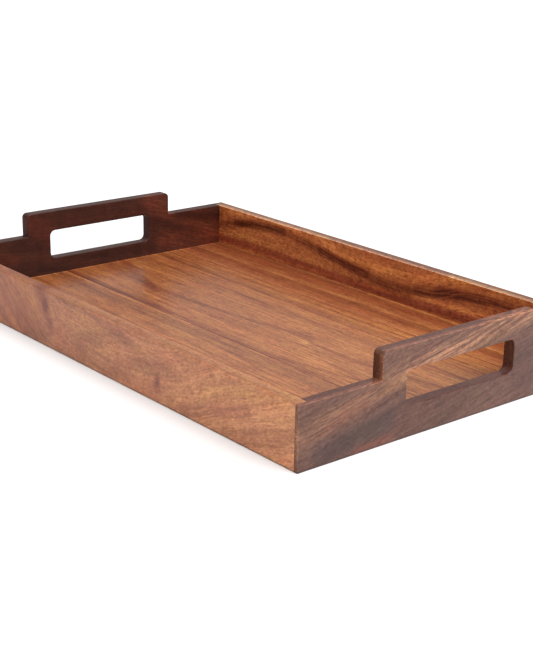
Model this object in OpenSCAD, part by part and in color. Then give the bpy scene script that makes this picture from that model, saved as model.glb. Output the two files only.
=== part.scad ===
// Wooden serving tray: two long sides, two ends with raised handles, and a
// floor of three planks held in grooves.
// +X runs along the tray, +Y towards its back, +Z up.  The origin is on the
// table under the middle of the tray.

/* [Tray] */
// Overall length, over the two ends
tray_len = 450; // [380:5:520]
// Overall width, over the two long sides
tray_w = 290; // [260:5:360]
// Height of the sides above the table
side_h = 45; // [42:1:60]
// Thickness of the sides and ends
board_t = 9.5; // [8:0.5:14]

/* [Handles] */
// Length of the raised middle of each end
handle_len = 150; // [135:5:180]
// Height of the raised middle above the sides
handle_rise = 20; // [18:1:30]
// Radius of the raised middle's two top corners
handle_r = 4; // [2:0.5:8]
// Length of the hand hole
hole_len = 105; // [90:5:115]
// Height of the hand hole
hole_h = 25; // [20:1:28]
// Radius of the hand hole's corners
hole_r = 5; // [3:0.5:8]
// Height of the grip, from the hand hole to the top of the handle
grip_h = 17.5; // [14:0.5:20]

/* [Floor] */
// Thickness of the floor planks
floor_t = 5; // [4:0.5:6]
// Height of the floor's underside above the table
floor_z = 3.5; // [3:0.5:4]
// Width of the plank at the back
back_plank_w = 54.5; // [40:0.5:70]
// Width of the plank in the middle
middle_plank_w = 122; // [80:1:150]

/* [Joints] */
// Depth of the groove that the floor's edges sit in
groove_depth = 4.5; // [3:0.5:5]
// Room left at the bottom of the groove for the floor to swell
groove_play = 0.5; // [0:0.1:1]
// Thickness of the tongue that each end laps over the sides
tongue_t = 3.5; // [2.5:0.1:5]

/* [Hidden] */
$fn = 64;

// Cuts run past the faces they open by this much
past = 1;

end_colour = [0.33, 0.19, 0.14];
side_colour = [0.63, 0.38, 0.22];
floor_colour = [0.68, 0.42, 0.24];

// Inside of the frame, between the faces of facing boards
inner_len = tray_len - 2 * board_t;
inner_w = tray_w - 2 * board_t;

// The sides run between the two tongues
side_len = tray_len - 2 * tongue_t;

// Middle of the hand hole above the table
hole_z = side_h + handle_rise - grip_h - hole_h / 2;

// The floor reaches into the grooves on all four edges
floor_in = groove_depth - groove_play;
floor_len = inner_len + 2 * floor_in;
floor_w = inner_w + 2 * floor_in;
front_plank_w = floor_w - middle_plank_w - back_plank_w;

// Rectangle with four round corners, centred on the origin
module round_rectangle(length, height, radius) {
    square([length - 2 * radius, height], center = true);
    square([length, height - 2 * radius], center = true);
    for (x = [-1, 1], y = [-1, 1])
        translate([x * (length / 2 - radius), y * (height / 2 - radius)])
            circle(radius);
}

// Face of an end: a plain board with a raised middle and a hand hole
module end_face() {
    handle_h = side_h + handle_rise;
    difference() {
        union() {
            translate([-tray_w / 2, 0])
                square([tray_w, side_h]);
            translate([-handle_len / 2, 0])
                square([handle_len, handle_h - handle_r]);
            translate([0, handle_h / 2])
                round_rectangle(handle_len, handle_h, handle_r);
        }
        translate([0, hole_z])
            round_rectangle(hole_len, hole_h, hole_r);
    }
}

// End board, drawn at the right: a corner rabbet takes each side, and a
// groove takes the floor
module end_board() {
    inner_x = tray_len / 2 - board_t;
    color(end_colour)
        difference() {
            translate([inner_x, 0, 0])
                rotate([90, 0, 90])
                    linear_extrude(board_t)
                        end_face();
            for (y = [-tray_w / 2 - past, inner_w / 2])
                translate([inner_x - past, y, -past])
                    cube([board_t - tongue_t + past, board_t + past, side_h + 2 * past]);
            translate([inner_x - past, -inner_w / 2 - past, floor_z])
                cube([groove_depth + past, inner_w + 2 * past, floor_t]);
        }
}

// Side board, drawn at the back, with the groove for the floor
module side_board() {
    color(side_colour)
        difference() {
            translate([-side_len / 2, inner_w / 2, 0])
                cube([side_len, board_t, side_h]);
            translate([-side_len / 2 - past, inner_w / 2 - past, floor_z])
                cube([side_len + 2 * past, groove_depth + past, floor_t]);
        }
}

// Floor plank of a given width whose front edge is at y
module plank(y, width) {
    color(floor_colour)
        translate([-floor_len / 2, y, floor_z])
            cube([floor_len, width, floor_t]);
}

module right_end() {
    end_board();
}

module left_end() {
    mirror([1, 0, 0])
        end_board();
}

module back_side() {
    side_board();
}

module front_side() {
    mirror([0, 1, 0])
        side_board();
}

module floor_front_plank() {
    plank(-floor_w / 2, front_plank_w);
}

module floor_middle_plank() {
    plank(-floor_w / 2 + front_plank_w, middle_plank_w);
}

module floor_back_plank() {
    plank(floor_w / 2 - back_plank_w, back_plank_w);
}

left_end();
right_end();
front_side();
back_side();
floor_front_plank();
floor_middle_plank();
floor_back_plank();
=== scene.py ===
import math

import bmesh
import bpy
from mathutils import Matrix, Vector


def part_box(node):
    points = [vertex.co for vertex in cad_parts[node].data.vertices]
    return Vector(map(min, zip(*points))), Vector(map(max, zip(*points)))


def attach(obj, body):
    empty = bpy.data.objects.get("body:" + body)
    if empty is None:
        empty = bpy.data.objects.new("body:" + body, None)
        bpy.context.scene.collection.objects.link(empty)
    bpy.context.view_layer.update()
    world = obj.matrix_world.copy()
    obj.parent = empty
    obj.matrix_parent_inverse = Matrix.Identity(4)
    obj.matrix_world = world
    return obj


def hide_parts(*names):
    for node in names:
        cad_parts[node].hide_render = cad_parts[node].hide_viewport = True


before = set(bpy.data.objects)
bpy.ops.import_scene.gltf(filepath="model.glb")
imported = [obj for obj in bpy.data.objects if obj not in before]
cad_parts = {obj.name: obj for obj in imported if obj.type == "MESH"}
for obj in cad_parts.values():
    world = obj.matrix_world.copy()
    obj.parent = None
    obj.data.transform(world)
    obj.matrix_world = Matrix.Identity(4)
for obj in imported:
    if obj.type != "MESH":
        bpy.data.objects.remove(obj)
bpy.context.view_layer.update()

MM = 0.001

# ---------------------------------------------------------------- sizes, from the frame
end_lo, end_hi = (Vector(corner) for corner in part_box("right_end"))
side_lo, side_hi = (Vector(corner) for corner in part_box("back_side"))
plank_lo, plank_hi = (Vector(corner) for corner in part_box("floor_back_plank"))

# Room at the bottom of the grooves, as in the part's source
GROOVE_PLAY = 0.5 * MM

HALF_L = end_hi.x
HALF_W = end_hi.y
BOARD_T = end_hi.x - end_lo.x
INNER_X = end_lo.x
INNER_Y = side_lo.y
SIDE_H = side_hi.z
HANDLE_H = end_hi.z
SIDE_END = side_hi.x
FLOOR_LOW = plank_lo.z
FLOOR_TOP = plank_hi.z
GROOVE = BOARD_T - (side_hi.y - plank_hi.y) + GROOVE_PLAY

# The handle's outline, as in the part's source
HANDLE_LEN = 150 * MM
HANDLE_R = 4 * MM
HOLE_LEN = 105 * MM
HOLE_H = 25 * MM
HOLE_R = 5 * MM
GRIP_H = 17.5 * MM
HOLE_Z = HANDLE_H - GRIP_H - HOLE_H / 2

# Softened edges: open arrises, and the tight lines where boards meet
ARRIS_R = 0.7 * MM
JOINT_R = 0.18 * MM
ARRIS_SEGMENTS = 4
ARC_STEPS = 12

# Edges that turn by more than the first angle are softened, and by less than the second removed
SHARP_ANGLE = math.radians(30)
FLAT_ANGLE = math.radians(0.5)
WELD_GAP = 0.001 * MM

# How far a cutter runs past the faces it opens, and how near counts as the same place
SPARE = 2 * MM
TOLERANCE = 0.01 * MM


# ---------------------------------------------------------------- mesh helpers
def mesh_object(name, bm):
    """An object in the scene that holds a bmesh."""
    bmesh.ops.recalc_face_normals(bm, faces=bm.faces)
    mesh = bpy.data.meshes.new(name)
    bm.to_mesh(mesh)
    bm.free()
    piece = bpy.data.objects.new(name, mesh)
    bpy.context.scene.collection.objects.link(piece)
    return piece


def prism(name, outline, x0, x1):
    """A solid with this outline of (y, z) points, from x0 to x1."""
    bm = bmesh.new()
    first = [bm.verts.new((x0, y, z)) for y, z in outline]
    last = [bm.verts.new((x1, y, z)) for y, z in outline]
    bm.faces.new(first)
    bm.faces.new(last)
    for i in range(len(outline)):
        j = (i + 1) % len(outline)
        bm.faces.new((first[i], first[j], last[j], last[i]))
    return mesh_object(name, bm)


def block(name, lo, hi):
    """A rectangular solid between two corners."""
    bm = bmesh.new()
    bmesh.ops.create_cube(bm, size=1)
    size = Vector(hi) - Vector(lo)
    middle = (Vector(hi) + Vector(lo)) / 2
    placed = Matrix.Translation(middle) @ Matrix.Diagonal(size).to_4x4()
    bmesh.ops.transform(bm, matrix=placed, verts=bm.verts)
    return mesh_object(name, bm)


def box_between(name, corner, opposite):
    """A rectangular solid between any two opposite corners."""
    lo = [min(p, q) for p, q in zip(corner, opposite)]
    hi = [max(p, q) for p, q in zip(corner, opposite)]
    return block(name, lo, hi)


def cut(piece, cutters):
    """Takes the cutters away from the piece's mesh and removes them."""
    for cutter in cutters:
        boolean = piece.modifiers.new("cut", "BOOLEAN")
        boolean.operation = "DIFFERENCE"
        boolean.solver = "EXACT"
        boolean.object = cutter
    graph = bpy.context.evaluated_depsgraph_get()
    mesh = bpy.data.meshes.new_from_object(piece.evaluated_get(graph))
    piece.modifiers.clear()
    old = piece.data
    piece.data = mesh
    bpy.data.meshes.remove(old)
    mesh.name = piece.name
    for cutter in cutters:
        bpy.data.objects.remove(cutter)


def soften(piece, is_joint):
    """Rounds every sharp edge: open arrises fully, and joint lines only slightly."""
    bm = bmesh.new()
    bm.from_mesh(piece.data)
    bmesh.ops.remove_doubles(bm, verts=bm.verts, dist=WELD_GAP)
    bmesh.ops.dissolve_limit(bm, angle_limit=FLAT_ANGLE, verts=bm.verts, edges=bm.edges)
    weight = bm.edges.layers.float.new("bevel_weight_edge")
    for edge in bm.edges:
        if len(edge.link_faces) == 2 and edge.calc_face_angle() > SHARP_ANGLE:
            middle = (edge.verts[0].co + edge.verts[1].co) / 2
            edge[weight] = JOINT_R / ARRIS_R if is_joint(middle) else 1
    for face in bm.faces:
        face.smooth = True
    bm.to_mesh(piece.data)
    bm.free()
    bevel = piece.modifiers.new("soft edges", "BEVEL")
    bevel.limit_method = "WEIGHT"
    bevel.width = ARRIS_R
    bevel.segments = ARRIS_SEGMENTS
    bevel.miter_outer = "MITER_ARC"
    normals = piece.modifiers.new("flat faces", "WEIGHTED_NORMAL")
    normals.keep_sharp = True


def near(value, target):
    """Whether two places are the same, but for rounding."""
    return abs(value - target) < TOLERANCE


# ---------------------------------------------------------------- boards
def arc(y, z, radius, start):
    """Points of a quarter circle about (y, z), anticlockwise from start degrees."""
    angles = [math.radians(start + 90 * i / ARC_STEPS) for i in range(ARC_STEPS + 1)]
    return [(y + radius * math.cos(a), z + radius * math.sin(a)) for a in angles]


def end_outline():
    """The outline of an end board, seen along the tray."""
    half = HANDLE_LEN / 2
    top = HANDLE_H - HANDLE_R
    return (
        [(-HALF_W, 0), (HALF_W, 0), (HALF_W, SIDE_H), (half, SIDE_H)]
        + arc(half - HANDLE_R, top, HANDLE_R, 0)
        + arc(-half + HANDLE_R, top, HANDLE_R, 90)
        + [(-half, SIDE_H), (-HALF_W, SIDE_H)]
    )


def hole_outline():
    """The outline of a hand hole, seen along the tray."""
    y = HOLE_LEN / 2 - HOLE_R
    low = HOLE_Z - HOLE_H / 2 + HOLE_R
    high = HOLE_Z + HOLE_H / 2 - HOLE_R
    return (
        arc(y, high, HOLE_R, 0)
        + arc(-y, high, HOLE_R, 90)
        + arc(-y, low, HOLE_R, 180)
        + arc(y, low, HOLE_R, 270)
    )


def in_groove_height(point):
    """Whether a point is between the underside of the groove and just above the floor."""
    return MM < point.z < FLOOR_TOP + MM


def end_board(name, side):
    """An end board, at +X for side 1 and at -X for side -1."""
    face = side * HALF_L
    inner = side * INNER_X
    tongue = side * SIDE_END
    before = inner - side * SPARE
    board = prism(name, end_outline(), *sorted((inner, face)))
    cutters = [prism("hole", hole_outline(), *sorted((before, face + side * SPARE)))]
    for y in (-1, 1):
        corner = (before, y * INNER_Y, -SPARE)
        opposite = (tongue, y * (HALF_W + SPARE), SIDE_H + SPARE)
        cutters.append(box_between("rabbet", corner, opposite))
    groove_corner = (before, -INNER_Y - SPARE, FLOOR_LOW)
    groove_opposite = (inner + side * GROOVE, INNER_Y + SPARE, FLOOR_TOP)
    cutters.append(box_between("groove", groove_corner, groove_opposite))
    cut(board, cutters)

    def is_joint(p):
        at_tongue = near(p.x, tongue)
        at_shoulder = near(abs(p.y), INNER_Y) or (abs(p.y) > INNER_Y and near(p.x, inner))
        at_groove = INNER_X - MM < abs(p.x) < HALF_L - GROOVE / 2 and in_groove_height(p)
        return at_tongue or at_shoulder or at_groove

    soften(board, is_joint)
    return board


def side_board(name, side):
    """A long side board, at +Y for side 1 and at -Y for side -1."""
    face = side * HALF_W
    inner = side * INNER_Y
    board = box_between(name, (-SIDE_END, inner, 0), (SIDE_END, face, SIDE_H))
    groove_corner = (-SIDE_END - SPARE, inner - side * SPARE, FLOOR_LOW)
    groove_opposite = (SIDE_END + SPARE, inner + side * GROOVE, FLOOR_TOP)
    cut(board, [box_between("groove", groove_corner, groove_opposite)])

    def is_joint(p):
        at_end = near(abs(p.x), SIDE_END)
        at_groove = in_groove_height(p) and abs(p.y) < HALF_W - MM
        return at_end or at_groove

    soften(board, is_joint)
    return board


def plank(name, node):
    """A floor plank the size of its CAD node. All its edges are joints."""
    board = block(name, *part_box(node))
    soften(board, lambda p: True)
    return board


# ---------------------------------------------------------------- node helpers
# The Mix node's sockets for colours come after those for numbers and vectors
MIX_COLOUR_A = 6
MIX_COLOUR_B = 7
MIX_COLOUR_RESULT = 2


def linear(value):
    """The sRGB standard's curve, from a screen value of 0 to 1 to the value shaders use."""
    return value / 12.92 if value <= 0.04045 else ((value + 0.055) / 1.055) ** 2.4


def srgb(red, green, blue):
    """A colour given as 0 to 255 screen values, in the linear values that shaders use."""
    return tuple(linear(value / 255) for value in (red, green, blue)) + (1,)


class Graph:
    """Short calls that add nodes to a material and return their outputs."""

    def __init__(self, name):
        self.material = bpy.data.materials.new(name)
        self.material.use_nodes = True
        self.tree = self.material.node_tree
        self.tree.nodes.clear()

    def add(self, kind, *values, **settings):
        """A new node, with values or sockets for its first inputs."""
        node = self.tree.nodes.new(kind)
        for key, value in settings.items():
            setattr(node, key, value)
        for socket, value in zip(node.inputs, values):
            self.feed(socket, value)
        return node

    def feed(self, socket, value):
        """Links a socket to an input, or sets the input to a value."""
        if isinstance(value, bpy.types.NodeSocket):
            self.tree.links.new(value, socket)
        elif value is not None:
            socket.default_value = value

    def math(self, operation, *values):
        return self.add("ShaderNodeMath", *values, operation=operation).outputs[0]

    def vector(self, operation, *values):
        node = self.add("ShaderNodeVectorMath", *values, operation=operation)
        return node.outputs["Value" if operation in ("LENGTH", "DOT_PRODUCT") else "Vector"]

    def scaled(self, vector, factor):
        node = self.add("ShaderNodeVectorMath", vector, operation="SCALE")
        self.feed(node.inputs["Scale"], factor)
        return node.outputs["Vector"]

    def combine(self, x, y, z):
        return self.add("ShaderNodeCombineXYZ", x, y, z).outputs[0]

    def separate(self, vector):
        return self.add("ShaderNodeSeparateXYZ", vector).outputs

    def noise(self, vector, size, detail=2.0, roughness=0.5, distortion=0.0):
        """Noise whose features measure size, a number or one number per axis, in mm."""
        sizes = size if isinstance(size, tuple) else (size,) * 3
        stretched = self.vector("DIVIDE", vector, sizes)
        node = self.add("ShaderNodeTexNoise", noise_dimensions="3D")
        for key, value in (("Vector", stretched), ("Scale", 1.0), ("Detail", detail),
                           ("Roughness", roughness), ("Distortion", distortion)):
            self.feed(node.inputs[key], value)
        return node.outputs

    def noise_line(self, number, size, detail=2.0, roughness=0.5):
        """Noise along one number, with features of this size."""
        node = self.add("ShaderNodeTexNoise", noise_dimensions="1D")
        for key, value in (("W", self.math("DIVIDE", number, size)), ("Scale", 1.0),
                           ("Detail", detail), ("Roughness", roughness)):
            self.feed(node.inputs[key], value)
        return node.outputs["Fac"]

    def shaded(self, colour, amount, shade):
        """The colour, multiplied by a shade where amount is 1. A shade over 1 makes it lighter."""
        return self.mix(amount, colour, self.mix(1.0, colour, (*shade, 1), "MULTIPLY"))

    def step(self, value, low, high, to_low=0.0, to_high=1.0):
        """A smooth step from to_low at low to to_high at high."""
        node = self.add("ShaderNodeMapRange", value, low, high, to_low, to_high)
        node.interpolation_type = "SMOOTHSTEP"
        return node.outputs[0]

    def ramp(self, value, stops):
        """A colour for a number, eased between (place, colour) stops."""
        node = self.add("ShaderNodeValToRGB", value)
        node.color_ramp.interpolation = "EASE"
        elements = node.color_ramp.elements
        while len(elements) < len(stops):
            elements.new(0.5)
        for element, (place, colour) in zip(elements, stops):
            element.position = place
            element.color = colour
        return node.outputs[0]

    def curve(self, value, points):
        """A smooth function of a number through (value, result) points, both in mm."""
        low, high = points[0][0], points[-1][0]
        results = [result for _, result in points]
        least, span = min(results), max(max(results) - min(results), 1.0)
        node = self.add("ShaderNodeFloatCurve")
        place = self.math("DIVIDE", self.math("SUBTRACT", value, low), high - low)
        self.feed(node.inputs["Value"], place)
        line = node.mapping.curves[0]
        while len(line.points) < len(points):
            line.points.new(0.5, 0.5)
        for point, (number, result) in zip(line.points, sorted(points)):
            point.location = ((number - low) / (high - low), (result - least) / span)
        node.mapping.update()
        return self.math("MULTIPLY_ADD", node.outputs[0], span, least)

    def mix(self, factor, a, b, blend="MIX"):
        """Colour a, blended with colour b as far as factor says."""
        node = self.add("ShaderNodeMix", data_type="RGBA", blend_type=blend)
        self.feed(node.inputs["Factor"], factor)
        self.feed(node.inputs[MIX_COLOUR_A], a)
        self.feed(node.inputs[MIX_COLOUR_B], b)
        return node.outputs[MIX_COLOUR_RESULT]


# ---------------------------------------------------------------- marks and arrises
# What the distances over a board's top and down its face are scaled by, about its arris
SIDE_TOP_SCALE = 0.3
END_TOP_SCALE = 0.35
FACE_SCALE = 3.0


def stroke(graph, place, start, end, width):
    """A mask, 1 on the line between two (along, across) points and 0 beyond its width, in mm."""
    run = Vector((*end, 0)) - Vector((*start, 0))
    offset = graph.vector("SUBTRACT", place, (*start, 0))
    travel = graph.vector("DOT_PRODUCT", offset, tuple(run / run.length_squared))
    travel = graph.math("MINIMUM", graph.math("MAXIMUM", travel, 0.0), 1.0)
    offset = graph.vector("SUBTRACT", offset, graph.scaled(tuple(run), travel))
    return graph.step(graph.vector("LENGTH", offset), width * 0.15, width, 1.0, 0.0)


def ribbon(graph, place, points, width):
    """A mask, 1 on the smooth line across = curve(along) and 0 beyond its width, in mm."""
    along, across, _ = graph.separate(place)
    gap = graph.math("ABSOLUTE", graph.math("SUBTRACT", across, graph.curve(along, points)))
    return graph.step(gap, width * 0.2, width, 1.0, 0.0)


def inside(graph, value, low, high):
    """Depth in mm inside an interval: 0 at either end."""
    above = graph.math("SUBTRACT", value, low)
    below = graph.math("SUBTRACT", high, value)
    return graph.math("MINIMUM", above, below)


def arris_distance(graph, over_top, down_face, top_scale):
    """Distance from an arris, scaled so that its band of painted highlight and wear is wide on top and
    narrow below.
    """
    wide = graph.math("MULTIPLY", over_top, top_scale)
    narrow = graph.math("MULTIPLY", down_face, FACE_SCALE)
    return graph.math("MAXIMUM", wide, narrow)


def side_arris(graph, xyz):
    """Scaled distance to the inner top arris of a side board."""
    depth = graph.math("SUBTRACT", graph.math("ABSOLUTE", xyz["Y"]), INNER_Y / MM)
    drop = graph.math("SUBTRACT", SIDE_H / MM, xyz["Z"])
    return arris_distance(graph, depth, drop, SIDE_TOP_SCALE)


def end_arris(graph, xyz):
    """Scaled distance to the outer arris of an end board and its handle."""
    half_handle = HANDLE_LEN / 2 / MM
    board = graph.math("MINIMUM", inside(graph, xyz["Y"], -HALF_W / MM, HALF_W / MM),
                       inside(graph, xyz["Z"], 0.0, SIDE_H / MM))
    handle = graph.math("MINIMUM", inside(graph, xyz["Y"], -half_handle, half_handle),
                        inside(graph, xyz["Z"], 0.0, HANDLE_H / MM))
    outline = graph.math("MAXIMUM", board, handle)
    depth = graph.math("SUBTRACT", HALF_L / MM, graph.math("ABSOLUTE", xyz["X"]))
    return arris_distance(graph, depth, outline, END_TOP_SCALE)


def plank_arris(node):
    """A function like the two above, but not scaled, for the long top arrises of one plank."""
    lo, hi = (Vector(corner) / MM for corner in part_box(node))

    def distance(graph, xyz):
        return graph.math("MAXIMUM", inside(graph, xyz["Y"], lo.y, hi.y),
                          graph.math("SUBTRACT", FLOOR_TOP / MM, xyz["Z"]))
    return distance


# ---------------------------------------------------------------- wood
# Sizes of the features of wood in mm: along the grain, across it and into the board
BROAD_DRIFT = (110, 26, 26)
SMALL_DRIFT = (24, 6, 6)
VEIN_LENGTHS = (60, 14, 14)
CLOUDS = (34, 12, 12)
STRANDS = (42, 1.5, 1.5)
HAIRS = (11, 0.7, 0.7)
FLECKS = (3.2, 1.5, 1.5)
FRINGES = (26, 1.6, 1.6)
PORES = (4.5, 0.22, 0.22)
# Breaks in the painted highlight and wear along the arrises
ARRIS_HIGHLIGHT_NOISE = (14, 5, 5)
LACQUER_WAVES = 5.0

# The middle of the noise, as a number and as a vector
MID = 0.5
MID_VECTOR = (MID, MID, MID)

# Shades: what each kind of place multiplies the wood's red, green and blue by
RED_CLOUD = (1.0, 0.87, 0.87, 1)
CLEAR = (1.0, 1.0, 1.0, 1)
GOLDEN_CLOUD = (1.05, 1.12, 0.97, 1)
VEIN_SHADE = (0.45, 0.3, 0.27)
PORE_SHADE = (0.42, 0.34, 0.3)
SAWN_SHADE = (0.95, 0.74, 0.6)
# Painted contact shadow along the foot on the table
FOOT_PAINTED_SHADOW = (0.45, 0.42, 0.42)
SEAM_SHADE = (0.5, 0.36, 0.32)
# Painted highlight along the floor's edge at the walls
FLOOR_EDGE_PAINTED_HIGHLIGHT = (1.5, 1.6, 1.75)

# A dark fibre is redder than a light one: the powers of its light in red, green and blue
LIGHT_POWERS = (0.85, 1.2, 1.3)
LEAST_LIGHT = 0.15

# Where the veins' noise starts, well away from the rings' own
VEIN_START = 137.0

# The figure's turn from the grain, in radians about the grain's axes
CURL_TURN = (0.5, 0.3, 0.35)

# The slide from one end's light to the other runs this far from the middle, in mm
SLIDE_REACH = 225

# Only the ends of the handle and its hole are shaded as sawn, not the board's own ends
SAWN_REACH = (120, 130)

ROUGHNESS = 0.4
SPECULAR = 0.2
COAT_IOR = 1.5
PORE_BUMP = 0.35
PORE_DEPTH = 0.06 * MM
LACQUER_BUMP = 0.2
LACQUER_DEPTH = 0.04 * MM


def tones(colour, spread):
    """Ramp stops about one screen colour: dark latewood, light earlywood, and back to the middle.

    Each shade is its place on the ramp, how much of the spread it adds, and its hue.
    """
    shades = ((0.0, -1.0, (1.0, 0.92, 0.88)), (0.35, -0.35, (1.0, 0.97, 0.96)), (0.6, 0.1, (1, 1, 1)),
              (0.82, 0.6, (1.0, 1.02, 1.0)), (1.0, 0.0, (1.02, 0.97, 0.95)))
    base = srgb(*colour)
    return [(place, tuple(min(c * (1 + spread * amount) * h, 1) for c, h in zip(base, hue)) + (1,))
            for place, amount, hue in shades]


class Wood(Graph):
    """A wood material in the making: where each point is in the log, and the layers of its look."""

    def __init__(self, name, axes, bend, shift, wander):
        super().__init__(name)
        inputs = self.add("ShaderNodeTexCoord").outputs
        self.position = self.scaled(inputs["Object"], 1 / MM)
        self.xyz = dict(zip("XYZ", self.separate(self.position)))
        self.facing = dict(zip("XYZ", self.separate(inputs["Normal"])))
        self.along, across, self.into = (self.xyz[axis] for axis in axes)
        self.place = self.combine(self.along, across, 0.0)
        self.lifted = self.math("SUBTRACT", across, self.curve(self.along, bend))
        self.shift = shift
        grain = self.combine(self.along, self.lifted, self.into)
        self.grain = self.vector("ADD", grain, (shift, shift, shift))
        self.drift = self.slow_drift(wander)
        self.figure_at = self.vector("ADD", self.grain, self.scaled(self.drift, 2.5))
        self.strands = self.noise(self.grain, STRANDS, 3.0, 0.6)["Fac"]
        self.hairs = self.noise(self.grain, HAIRS, 2.0, 0.6)["Fac"]
        self.pores = self.step(self.noise(self.grain, PORES, 1.0)["Fac"], 0.64, 0.74)
        self.end_grain = self.step(self.math("ABSOLUTE", self.facing[axes[0]]), 0.55, 0.9)

    def slow_drift(self, wander):
        """How far the fibres stray from a straight line, as a vector in mm."""
        broad = self.vector("SUBTRACT", self.noise(self.grain, BROAD_DRIFT)["Color"], MID_VECTOR)
        noise = self.noise(self.grain, SMALL_DRIFT, 3.0, 0.55)["Color"]
        small = self.vector("SUBTRACT", noise, MID_VECTOR)
        return self.vector("ADD", self.scaled(broad, wander * 2.0), self.scaled(small, wander * 0.35))

    def pith_distance(self, pith, slope):
        """Distance in mm to the log's pith line, which tells the ring that a point is in."""
        _, drift_across, drift_into = self.separate(self.drift)
        u = self.math("ADD", self.math("SUBTRACT", self.lifted, pith[0]), drift_across)
        depth = self.math("SUBTRACT", self.into, self.math("MULTIPLY_ADD", self.along, slope, pith[1]))
        v = self.math("ADD", depth, drift_into)
        return self.math("ADD", self.vector("LENGTH", self.combine(u, v, 0.0)), self.shift)

    def rings(self, radius, ring, colour, spread):
        """The wood's colour, in bands of early and late growth."""
        wide = self.noise_line(radius, ring * 2.4, 2.0, 0.6)
        thin = self.noise_line(radius, ring * 0.4, 3.0, 0.65)
        both = self.math("MULTIPLY_ADD", wide, 0.55, self.math("MULTIPLY", thin, 0.45))
        return self.ramp(self.step(both, 0.3, 0.7), tones(colour, spread))

    def veins(self, tone, radius, ring, strength):
        """Dark veins along some rings, which fade in and out."""
        crossing = self.noise_line(self.math("ADD", radius, VEIN_START), ring * 1.5, 1.0)
        off_line = self.math("ABSOLUTE", self.math("SUBTRACT", crossing, MID))
        line = self.step(off_line, 0.0, 0.05, 1.0, 0.0)
        fade = self.step(self.noise(self.grain, VEIN_LENGTHS, 1.0)["Fac"], 0.4, 0.62, 0.0, strength)
        return self.shaded(tone, self.math("MULTIPLY", line, fade), VEIN_SHADE)

    def clouds(self, tone, blush):
        """Red and golden clouds."""
        cloud = self.noise(self.figure_at, CLOUDS, 3.0, 0.55)["Fac"]
        tint = self.ramp(cloud, [(0.36, RED_CLOUD), (MID, CLEAR), (0.64, GOLDEN_CLOUD)])
        return self.mix(blush, tone, self.mix(1.0, tone, tint, "MULTIPLY"))

    def fibres(self, tone, fibre, grit, mottle, mottle_size, slide):
        """Light and dark fibres and flecks, the figure across them, and a slide along the board."""
        flecks = self.noise(self.grain, FLECKS, 3.0, 0.65)["Fac"]
        turned = self.add("ShaderNodeVectorRotate", self.figure_at, rotation_type="EULER_XYZ")
        turned.inputs["Rotation"].default_value = CURL_TURN
        curl = self.noise(turned.outputs[0], mottle_size, 4.0, 0.6, 0.3)["Fac"]
        light = 1.0
        for noise, strength in ((self.strands, fibre * 2.4), (self.hairs, fibre * 1.6),
                                (flecks, grit * 4.0), (curl, mottle * 4.0)):
            light = self.math("MULTIPLY_ADD", self.math("SUBTRACT", noise, MID), strength, light)
        light = self.math("MULTIPLY", light, self.step(self.along, -SLIDE_REACH, SLIDE_REACH, *slide))
        light = self.math("MAXIMUM", light, LEAST_LIGHT)
        powers = (self.math("POWER", light, power) for power in LIGHT_POWERS)
        return self.mix(1.0, tone, self.combine(*powers), "MULTIPLY")

    def marked(self, tone, marks):
        """The board's own streaks and knots."""
        wavy = self.vector("ADD", self.place, self.vector("MULTIPLY", self.drift, (0.7, 0.7, 0.0)))
        fringe = self.noise(self.grain, FRINGES, 3.0, 0.6)["Fac"]
        for shape, points, width, shade, solid in marks:
            if shape == "stroke":
                mask = stroke(self, wavy, *points, width)
            else:
                mask = ribbon(self, wavy, points, width)
            ragged = self.step(fringe, 0.36, 0.6, solid, 1.0)
            tone = self.shaded(tone, self.math("MULTIPLY", mask, ragged), shade)
        return tone

    def cut_faces(self, tone, top_tone_and_shade):
        """Open pores, the sawn ends of the handle, and painted shade on faces that look up, partly their
        darker edge-grain tone.
        """
        tone = self.shaded(tone, self.math("MULTIPLY", self.pores, 0.5), PORE_SHADE)
        by_handle = self.step(self.math("ABSOLUTE", self.along), *SAWN_REACH, 1.0, 0.0)
        tone = self.shaded(tone, self.math("MULTIPLY", self.end_grain, by_handle), SAWN_SHADE)
        # Faces that look up get a painted shade, which also carries the darker tone of their edge grain
        return self.shaded(tone, self.step(self.facing["Z"], 0.7, 1.0), top_tone_and_shade)

    def lit_arris_and_foot_shadow(self, tone, edge, arris_highlight_and_wear):
        """The lit arrises made lighter, a painted highlight that is partly rubbed wear, and a painted
        contact shadow along the foot.
        """
        highlight_band = self.math("MULTIPLY_ADD", self.noise(self.position, ARRIS_HIGHLIGHT_NOISE)["Fac"], 1.2, edge)
        # The lit arris is painted lighter: a highlight, partly rubbed wear
        tone = self.shaded(tone, self.step(highlight_band, 0.8, 2.4, 1.0, 0.0), arris_highlight_and_wear)
        # Painted contact shadow: darker within 1.8 mm of the table
        return self.shaded(tone, self.step(self.xyz["Z"], 0.3, 1.8, 1.0, 0.0), FOOT_PAINTED_SHADOW)

    def seams_and_edge_highlight(self, tone, edge, joints):
        """A dark line where planks meet, and a painted highlight along the (x, y) limits of the floor, where
        it meets the walls.
        """
        end_gap, side_gap = (self.math("SUBTRACT", limit, self.math("ABSOLUTE", self.xyz[axis]))
                             for limit, axis in zip(joints, "XY"))
        tone = self.shaded(tone, self.step(edge, 0.4, 1.4, 1.0, 0.0), SEAM_SHADE)
        # Painted highlight along the floor where it meets the walls
        edge_highlight = self.step(self.math("MINIMUM", end_gap, side_gap), 0.8, 2.6, 1.0, 0.0)
        return self.shaded(tone, edge_highlight, FLOOR_EDGE_PAINTED_HIGHLIGHT)

    def bump(self, height, strength, distance):
        """A normal for a surface with these heights."""
        node = self.add("ShaderNodeBump")
        node.inputs["Strength"].default_value = strength
        node.inputs["Distance"].default_value = distance
        self.feed(node.inputs["Height"], height)
        return node.outputs[0]

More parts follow.
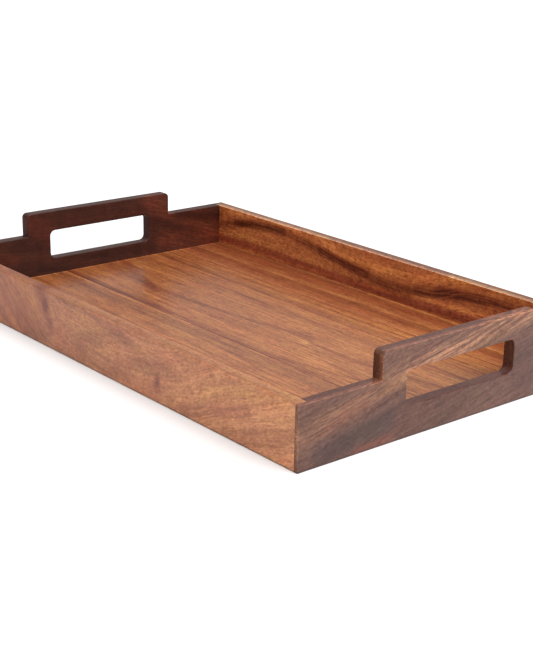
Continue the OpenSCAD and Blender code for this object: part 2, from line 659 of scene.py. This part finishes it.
    def lacquer(self, tone, coat, gloss):
        """The surface: open pores in the wood, under a satin coat that is thin on end grain."""
        grooves = self.math("SUBTRACT", self.math("MULTIPLY", self.strands, 0.4), self.pores)
        waves = self.noise(self.position, LACQUER_WAVES)["Fac"]
        film = self.math("MULTIPLY_ADD", self.strands, 0.4, waves)
        dull = self.math("MULTIPLY_ADD", self.end_grain, 0.3, ROUGHNESS)
        shader = self.add("ShaderNodeBsdfPrincipled")
        self.feed(shader.inputs["Base Color"], tone)
        self.feed(shader.inputs["Roughness"], self.math("MULTIPLY_ADD", self.hairs, 0.2, dull))
        self.feed(shader.inputs["Normal"], self.bump(grooves, PORE_BUMP, PORE_DEPTH))
        self.feed(shader.inputs["Coat Normal"], self.bump(film, LACQUER_BUMP, LACQUER_DEPTH))
        self.feed(shader.inputs["Coat Weight"], self.math("MULTIPLY_ADD", self.end_grain, -0.7 * coat, coat))
        shader.inputs["Specular IOR Level"].default_value = SPECULAR
        shader.inputs["Coat Roughness"].default_value = gloss
        shader.inputs["Coat IOR"].default_value = COAT_IOR
        output = self.add("ShaderNodeOutputMaterial")
        self.feed(output.inputs["Surface"], shader.outputs[0])
        return self.material


def wood(name, axes, colour, spread, pith, ring, arris, slope=0.0, bend=((-230, 0), (230, 0)), shift=0.0,
         vein=0.4, fibre=0.3, grit=0.1, mottle=0.12, mottle_size=(9, 22, 10), blush=0.6, wander=5.0,
         marks=(), slide=(1.0, 1.0), arris_highlight_and_wear=(1.4, 1.4, 1.35), top_tone_and_shade=(1, 1, 1), joints=None, coat=0.45,
         gloss=0.24):
    """Lacquered wood cut from a log: rings about a pith line, fibres, pores, figure and marks.

    Sizes are in mm. axes names the frame axes that run along the grain, across the board's
    face and into it. pith is the middle of the log, (across, into), which slopes along the
    board, and ring is the width of a ring. bend is the curve that the grain follows, across
    against along. shift takes each board from another part of the log, and wander is how far
    its fibres stray. spread, vein, fibre, grit, mottle and blush are strengths, and slide is
    the light at the board's two ends. arris_highlight_and_wear is the shade of the lit arris, a
    painted highlight that is partly rubbed wear, and top_tone_and_shade is the painted shade of
    the top, partly the darker tone of its edge grain.
    """
    board = Wood(name, axes, bend, shift, wander)
    radius = board.pith_distance(pith, slope)
    edge = arris(board, board.xyz)
    tone = board.rings(radius, ring, colour, spread)
    tone = board.veins(tone, radius, ring, vein)
    tone = board.clouds(tone, blush)
    tone = board.fibres(tone, fibre, grit, mottle, mottle_size, slide)
    tone = board.marked(tone, marks)
    tone = board.cut_faces(tone, top_tone_and_shade)
    tone = board.lit_arris_and_foot_shadow(tone, edge, arris_highlight_and_wear)
    if joints:
        tone = board.seams_and_edge_highlight(tone, edge, joints)
    return board.lacquer(tone, coat, gloss)


# A mark is its shape, its (along, across) points and its width in mm, the shade it multiplies
# the colour by, and how solid it is: 1 is even, and near 0 it breaks up along the fibres.
# Ribbons and bends run a little past the board's ends.
front_wood = wood(
    "front_wood", "XZY", (172, 108, 70), spread=0.28, pith=(18, -25), ring=5.0, arris=side_arris, slope=0.02,
    bend=((-230, 110), (-145, 62), (-92, 20), (-60, 2), (-20, 0), (40, 0), (90, 6), (150, 28), (230, 54)),
    vein=0.2, fibre=0.26, grit=0.4, mottle=0.17, mottle_size=(7, 9, 9), blush=0.65, wander=6.0,
    arris_highlight_and_wear=(1.1, 1.12, 1.15), top_tone_and_shade=(0.68, 0.68, 0.68), slide=(0.72, 1.22),
    marks=[
        ("stroke", ((-230, 24), (-116, 24)), 60, (0.94, 0.8, 0.66), 1.0),
        ("stroke", ((-86, 50), (-72, 34)), 8, (0.66, 0.46, 0.4), 0.9),
        ("stroke", ((-72, 34), (-64, 16)), 7, (0.66, 0.5, 0.48), 0.8),
        ("stroke", ((-108, 46), (-84, 24)), 10, (1.06, 1.14, 0.9), 0.5),
        ("stroke", ((-110, 14), (-76, 12)), 12, (0.84, 0.74, 0.72), 0.5),
        ("stroke", ((-100, 4), (-68, 6)), 7, (0.78, 0.82, 0.9), 0.7),
        ("stroke", ((-30, 30), (20, 26)), 12, (1.08, 1.16, 1.0), 0.2),
        ("stroke", ((22, 41), (60, 27)), 9, (0.8, 0.7, 0.72), 0.5),
        ("stroke", ((76.5, 13), (77, 18)), 6, (0.66, 0.52, 0.58), 0.9),
        ("stroke", ((76.5, 14), (77, 16)), 3, (0.7, 0.68, 0.85), 1.0),
        ("stroke", ((70, 24), (80, 28)), 8, (0.86, 0.78, 0.8), 0.6),
        ("stroke", ((106, 2), (176, 25)), 9, (0.76, 0.68, 0.72), 0.2),
        ("stroke", ((130, 26), (212, 44)), 9, (1.1, 1.18, 1.0), 0.2),
        ("stroke", ((170, 10), (220, 22)), 7, (0.86, 0.8, 0.8), 0.2),
    ])
back_wood = wood(
    "back_wood", "XZY", (184, 108, 62), spread=0.2, pith=(20, 30), ring=6.0, arris=side_arris, slope=0.01,
    bend=((-230, 6), (-160, 14), (-120, 14), (-60, 6), (0, -2), (45, -3), (110, 8), (230, 12)), shift=57.0,
    vein=0.3, fibre=0.34, grit=0.5, mottle=0.26, mottle_size=(5, 9, 9), wander=3.0,
    arris_highlight_and_wear=(1.6, 2.4, 4.0), top_tone_and_shade=(0.34, 0.38, 0.5), coat=0.3,
    marks=[
        ("ribbon", ((-230, 26), (-192, 31), (-159, 38), (-130, 39), (-100, 36), (-59, 31), (-15, 25),
                    (18, 21), (45, 22), (68, 26), (104, 33), (150, 35), (230, 30)), 6,
         (0.42, 0.3, 0.28), 0.5),
        ("stroke", ((-190, 35), (-120, 39)), 6, (0.45, 0.36, 0.36), 0.7),
        ("stroke", ((-230, 40), (-204, 38)), 13, (0.8, 0.7, 0.66), 0.8),
        ("stroke", ((-70, 32), (-10, 24)), 6, (0.6, 0.44, 0.44), 0.4),
        ("stroke", ((50, 25), (120, 35)), 7, (0.55, 0.42, 0.42), 0.4),
        ("stroke", ((80, 31), (170, 39)), 11, (0.78, 0.66, 0.7), 0.3),
        ("ribbon", ((-230, 8), (20, 16), (70, 20), (130, 22), (230, 22)), 2.6, (1.35, 1.45, 1.2), 0.5),
        ("ribbon", ((-230, 38), (-160, 44), (-60, 39), (0, 33), (60, 36), (110, 43), (230, 44)), 8,
         (1.4, 1.55, 1.4), 0.3),
        ("ribbon", ((-230, 21), (-150, 22), (-60, 19), (0, 17), (230, 18)), 5, (1.15, 1.28, 1.2), 0.4),
        ("ribbon", ((-230, 12.6), (0, 13.6), (230, 15.2)), 7, (0.6, 0.4, 0.5), 1.0),
        ("stroke", ((50, 17), (130, 21)), 8, (1.3, 1.45, 1.6), 0.8),
    ])
left_wood = wood(
    "left_wood", "YZX", (58, 25, 16), spread=0.32, pith=(10, -35), ring=5.0, arris=end_arris, slope=0.02,
    bend=((-150, 8), (-60, 0), (40, 0), (70, -6), (150, -30)), shift=203.0, grit=0.36, mottle=0.26,
    slide=(0.78, 1.16), coat=0.3,
    marks=[
        ("stroke", ((86, 44), (134, 34)), 8, (0.42, 0.36, 0.36), 0.7),
        ("stroke", ((56, 60), (134, 24)), 15, (2.2, 1.8, 1.5), 0.3),
        ("stroke", ((70, 20), (134, 12)), 14, (2.2, 1.8, 1.5), 0.3),
        ("stroke", ((-128, 36), (-90, 26)), 9, (1.6, 1.3, 1.0), 0.3),
        ("stroke", ((-70, 56), (-45, 36)), 14, (1.7, 1.35, 1.15), 0.4),
        ("stroke", ((-60, 14), (40, 16)), 9, (0.72, 0.66, 0.66), 0.4),
    ])
right_wood = wood(
    "right_wood", "YZX", (92, 60, 49), spread=0.22, pith=(-10, 40), ring=5.0, arris=end_arris, slope=0.02,
    bend=((-150, -30), (-100, -20), (-52, -8), (5, 3), (67, 17), (150, 38)), shift=331.0, fibre=0.5,
    grit=0.42, mottle=0.14, mottle_size=(8, 9, 9), vein=0.3, top_tone_and_shade=(0.85, 0.68, 0.68),
    arris_highlight_and_wear=(1.95, 2.2, 2.15),
    marks=[
        ("ribbon", ((-150, 22), (-100, 33), (-52, 44), (5, 54), (67, 70), (150, 98)), 15,
         (1.5, 1.46, 1.28), 0.3),
        ("stroke", ((-62, 52), (86, 60)), 22, (1.28, 1.26, 1.2), 0.4),
        ("stroke", ((-50, 46), (66, 64)), 11, (1.8, 2.1, 1.9), 0.0),
        ("stroke", ((-145, 26), (-60, 42)), 8, (1.25, 1.3, 1.2), 0.0),
        ("stroke", ((-126, 9), (-70, 15)), 13, (0.68, 0.75, 0.92), 1.0),
        ("stroke", ((-95, 2), (-66, 3)), 6, (1.4, 1.0, 0.85), 0.5),
        ("stroke", ((60, 22), (140, 40)), 24, (0.74, 0.62, 0.7), 0.6),
    ])
PLANK_LOOK = {
    "ring": 4.0, "slope": 0.002, "spread": 0.28, "vein": 0.3, "fibre": 0.8, "grit": 0.4, "mottle": 0.12,
    "arris_highlight_and_wear": (1.2, 1.2, 1.2), "joints": (INNER_X / MM, INNER_Y / MM), "coat": 0.85, "gloss": 0.27,
}
plank_woods = {
    "floor_front_plank": wood(
        "front_plank_wood", "XYZ", (147, 87, 45), pith=(-110, -60), arris=plank_arris("floor_front_plank"),
        shift=411.0, wander=2.5, slide=(0.88, 1.16), **PLANK_LOOK,
        marks=[
            ("stroke", ((-230, -38.6), (-30, -38.6)), 2.2, (1.5, 1.7, 1.7), 0.8),
            ("ribbon", ((-230, -46), (-60, -52), (40, -54), (120, -62), (230, -60)), 3,
             (0.8, 0.7, 0.7), 0.4),
            ("ribbon", ((-230, -66), (0, -70), (80, -74), (160, -70), (230, -74)), 3, (1.2, 1.2, 1.15), 0.3),
        ]),
    "floor_middle_plank": wood(
        "middle_plank_wood", "XYZ", (151, 89, 45), pith=(5, -60), arris=plank_arris("floor_middle_plank"),
        shift=517.0, wander=2.5, slide=(0.84, 1.18), **PLANK_LOOK,
        marks=[
            ("ribbon", ((-230, 12), (-102, -1), (-29, 4), (18, 10), (51, 13), (71, 8), (118, 9), (188, 18),
                        (230, 20)), 4.5, (0.66, 0.5, 0.48), 0.5),
            ("ribbon", ((-230, -34), (-49, -33), (58, -35), (84, -31), (118, -24), (144, -17), (230, 0)), 4,
             (0.68, 0.52, 0.5), 0.5),
            ("stroke", ((-230, -35), (-60, -34.5)), 3.5, (0.62, 0.42, 0.38), 0.8),
            ("stroke", ((57, 6.5), (77, 4.5)), 6, (1.25, 1.5, 1.65), 1.0),
            ("stroke", ((65, 4), (78, 3)), 2.5, (0.7, 0.58, 0.54), 0.9),
            ("ribbon", ((-230, -20), (40, -6), (60, -1), (78, -2), (96, -9), (230, -22)), 2.2,
             (0.8, 0.68, 0.64), 0.3),
            ("stroke", ((-215, 24), (-120, -8)), 9, (0.68, 0.5, 0.48), 0.4),
            ("ribbon", ((-230, 64), (0, 61), (230, 58)), 3.2, (0.7, 0.54, 0.5), 0.3),
            ("ribbon", ((-230, 48), (0, 44), (230, 46)), 2.8, (0.74, 0.58, 0.56), 0.3),
        ]),
    "floor_back_plank": wood(
        "back_plank_wood", "XYZ", (151, 89, 50), pith=(150, -50), arris=plank_arris("floor_back_plank"),
        shift=613.0, wander=2.0, slide=(0.82, 1.12), **PLANK_LOOK,
        marks=[
            ("ribbon", ((-230, 125), (230, 123)), 12, (0.9, 0.7, 0.66), 0.5),
            # A painted highlight along the floor's junction with the back board
            ("stroke", ((0, 135), (230, 132)), 7, (1.45, 1.65, 1.35), 0.8),
            ("ribbon", ((-230, 109), (230, 110)), 2.6, (1.3, 1.4, 1.35), 0.4),
            ("ribbon", ((-230, 98), (0, 99), (230, 97)), 11, (0.76, 0.62, 0.58), 0.6),
        ]),
}


# ---------------------------------------------------------------- camera
# Where the photograph was taken from, aimed near the middle of the tray: degrees, metres, and
# the lens and sensor in mm
VIEW_AZIMUTH = 50.0
VIEW_ELEVATION = 18.72
VIEW_ROLL = 1.12
VIEW_DISTANCE = 1082.9 * MM
VIEW_RIGHT = 13.0 * MM
VIEW_UP = 0.9 * MM
LENS = 91.54
SENSOR = 36
NEAR_CLIP = 0.01
FAR_CLIP = 50


def camera():
    """The scene's camera, at the photograph's viewing angle."""
    a, e, r = (math.radians(v) for v in (VIEW_AZIMUTH, VIEW_ELEVATION, VIEW_ROLL))
    back = Vector((math.sin(a) * math.cos(e), -math.cos(a) * math.cos(e), math.sin(e)))
    level = Vector((math.cos(a), math.sin(a), 0))
    upright = back.cross(level)
    right = level * math.cos(r) + upright * math.sin(r)
    up = upright * math.cos(r) - level * math.sin(r)
    data = bpy.data.cameras.new("camera")
    data.sensor_fit = "HORIZONTAL"
    data.sensor_width = SENSOR
    data.lens = LENS
    data.clip_start = NEAR_CLIP
    data.clip_end = FAR_CLIP
    eye = bpy.data.objects.new("camera", data)
    turn = Matrix((right, up, back)).transposed().to_4x4()
    place = right * VIEW_RIGHT + up * VIEW_UP + back * VIEW_DISTANCE
    eye.matrix_world = Matrix.Translation(place) @ turn
    bpy.context.scene.collection.objects.link(eye)
    bpy.context.scene.camera = eye


# ---------------------------------------------------------------- studio
TABLE_REACH = 60
TABLE_T = 0.02
TABLE_WHITE = (0.8, 0.8, 0.8, 1)
TABLE_ROUGHNESS = 0.9
SKY_WHITE = (1, 1, 1, 1)
SKY_STRENGTH = 0.5
LAMP_STRENGTH = 4.0
LAMP_SPREAD = math.radians(60)
LAMP_FROM = Vector((0.7, 0.0, 1.0))


def sky():
    """An even, pale light from all sides."""
    world = bpy.data.worlds.new("studio")
    world.use_nodes = True
    backdrop = world.node_tree.nodes["Background"]
    backdrop.inputs["Color"].default_value = SKY_WHITE
    backdrop.inputs["Strength"].default_value = SKY_STRENGTH
    bpy.context.scene.world = world


def table():
    """The plain pale table that the tray stands on."""
    slab = block("table", (-TABLE_REACH, -TABLE_REACH, -TABLE_T), (TABLE_REACH, TABLE_REACH, 0))
    graph = Graph("paper")
    shader = graph.add("ShaderNodeBsdfPrincipled")
    shader.inputs["Base Color"].default_value = TABLE_WHITE
    shader.inputs["Roughness"].default_value = TABLE_ROUGHNESS
    output = graph.add("ShaderNodeOutputMaterial")
    graph.feed(output.inputs["Surface"], shader.outputs[0])
    slab.data.materials.append(graph.material)


def lamp():
    """One very wide soft light, high on the right."""
    light = bpy.data.lights.new("softbox", "SUN")
    light.energy = LAMP_STRENGTH
    light.angle = LAMP_SPREAD
    holder = bpy.data.objects.new("softbox", light)
    holder.rotation_euler = (-LAMP_FROM).to_track_quat("-Z", "Y").to_euler()
    bpy.context.scene.collection.objects.link(holder)


# ---------------------------------------------------------------- the scene
def fit_piece(piece, node, material):
    """Gives a piece its wood, and lets it stand for its CAD node."""
    piece.data.materials.clear()
    piece.data.materials.append(material)
    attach(piece, "root")
    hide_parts(node)


camera()
sky()
table()
lamp()
bpy.context.scene.view_settings.view_transform = "Standard"

fit_piece(end_board("left_end_board", -1), "left_end", left_wood)
fit_piece(end_board("right_end_board", 1), "right_end", right_wood)
fit_piece(side_board("front_side_board", -1), "front_side", front_wood)
fit_piece(side_board("back_side_board", 1), "back_side", back_wood)
for node, material in plank_woods.items():
    fit_piece(plank(node + "_board", node), node, material)
